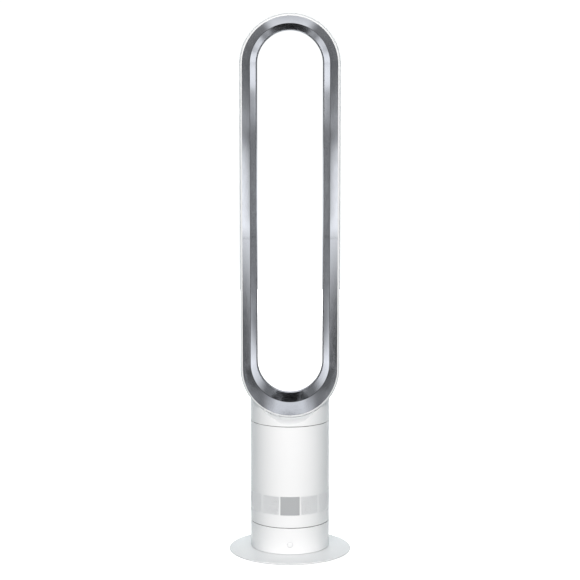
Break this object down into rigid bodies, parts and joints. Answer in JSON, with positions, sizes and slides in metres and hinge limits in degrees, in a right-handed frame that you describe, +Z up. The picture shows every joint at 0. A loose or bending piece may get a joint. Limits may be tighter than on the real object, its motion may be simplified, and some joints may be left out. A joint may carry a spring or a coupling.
{
  "type": "bladeless tower fan",
  "caption": "Tall bladeless tower fan: an open air loop with a metallic front band on a white cylinder body that swivels on a low round plate.",
  "frame": {"origin": "on the swivel axis, at the height of the floor under the rubber feet", "axes": "+Z up along the swivel axis, -Y towards the front with the power button and display, +X to the right seen from the front"},
  "size_m": [0.2294, 0.2294, 1.0069],
  "materials": {
    "white_gloss": "gloss moulded plastic",
    "satin_nickel": "satin nickel-coloured metallic coating on moulded plastic",
    "grille_white": "perforated moulded plastic",
    "lens_grey": "translucent grey plastic",
    "rubber_black": "matte",
    "black_plastic": "matte",
    "grey_plastic": "matte",
    "natural_plastic": "matte",
    "foam_grey": "open-cell foam",
    "circuit_green": "solder mask",
    "component_black": "matte",
    "steel_zinc": "zinc plated",
    "steel_dark": "painted steel",
    "copper_wire": "enamelled copper",
    "magnet_grey": "plated",
    "wire_red": "flexible insulation"
  },
  "bodies": {
    "base": {"base_plate": "white_gloss", "base_weight": "steel_dark", "base_cover": "grey_plastic", "rubber_feet": "rubber_black", "base_collar": "white_gloss", "base_screws": "steel_zinc", "cable_gland": "grey_plastic", "button_bezel": "satin_nickel", "button_holder": "black_plastic", "button_spring": "steel_zinc", "tact_switch": "component_black", "button_board": "circuit_green", "power_board": "circuit_green", "power_board_parts": "component_black", "swivel_deck": "natural_plastic", "deck_screws": "steel_zinc", "stop_pin": "steel_zinc", "swivel_motor": "steel_zinc", "swivel_motor_screws": "steel_zinc"},
    "upper": {"ring_gear": "natural_plastic", "swivel_plate": "black_plastic", "retaining_ring": "steel_zinc", "body_screws": "steel_zinc", "main_board": "circuit_green", "main_board_parts": "component_black", "wire_loom": "wire_red", "chamber_floor": "black_plastic", "floor_foam": "foam_grey", "body_shell": "white_gloss", "inlet_grilles": "grille_white", "display_lens": "lens_grey", "display_board": "circuit_green", "display_parts": "component_black", "rubber_mounts": "rubber_black", "fan_housing": "grey_plastic", "bellmouth": "grey_plastic", "motor_bucket": "grey_plastic", "bucket_cap": "grey_plastic", "motor_bearings": "steel_zinc", "motor_stator": "steel_dark", "motor_coils": "copper_wire", "diffuser": "grey_plastic", "fan_foam": "foam_grey", "air_guide": "black_plastic", "neck_seal": "rubber_black", "nozzle_neck": "white_gloss", "neck_spigot": "natural_plastic", "neck_screws": "steel_zinc", "nozzle_shell": "white_gloss", "front_band": "satin_nickel", "inner_ramp": "satin_nickel", "slot_spacers": "black_plastic"},
    "bearing": {"bearing_cage": "black_plastic", "bearing_balls": "steel_zinc"},
    "pinion": {"drive_shaft": "steel_zinc", "drive_pinion": "natural_plastic"},
    "button": {"power_button": "white_gloss"},
    "impeller": {"impeller": "black_plastic", "motor_shaft": "steel_zinc", "rotor_magnet": "magnet_grey"}
  },
  "joints": [
    {"name": "swivel", "type": "hinge", "parent": "base", "child": "upper", "pos_m": [0, 0, 0.0505], "axis": [0, 0, 1], "range_deg": [-35, 35]},
    {"name": "pinion_spin", "type": "hinge", "parent": "base", "child": "pinion", "pos_m": [-0.0375, 0, 0.0495], "axis": [0, 0, 1], "range_deg": [-212, 212]},
    {"name": "bearing_roll", "type": "hinge", "parent": "base", "child": "bearing", "pos_m": [0, 0, 0.04855], "axis": [0, 0, 1], "range_deg": [-18, 18]},
    {"name": "impeller_spin", "type": "hinge", "parent": "upper", "child": "impeller", "pos_m": [0, 0, 0.162], "axis": [0, 0, 1], "continuous": true},
    {"name": "power_button_press", "type": "slide", "parent": "base", "child": "button", "axis": [0, 1, 0], "range_m": [0, 0.0008], "stiffness_N_per_m": 400, "springref_m": -0.002, "deforming": ["button_spring"]}
  ],
  "couplings": [
    {"joint": "pinion_spin", "follows": "swivel", "ratio": 6},
    {"joint": "bearing_roll", "follows": "swivel", "ratio": 0.5}
  ]
}
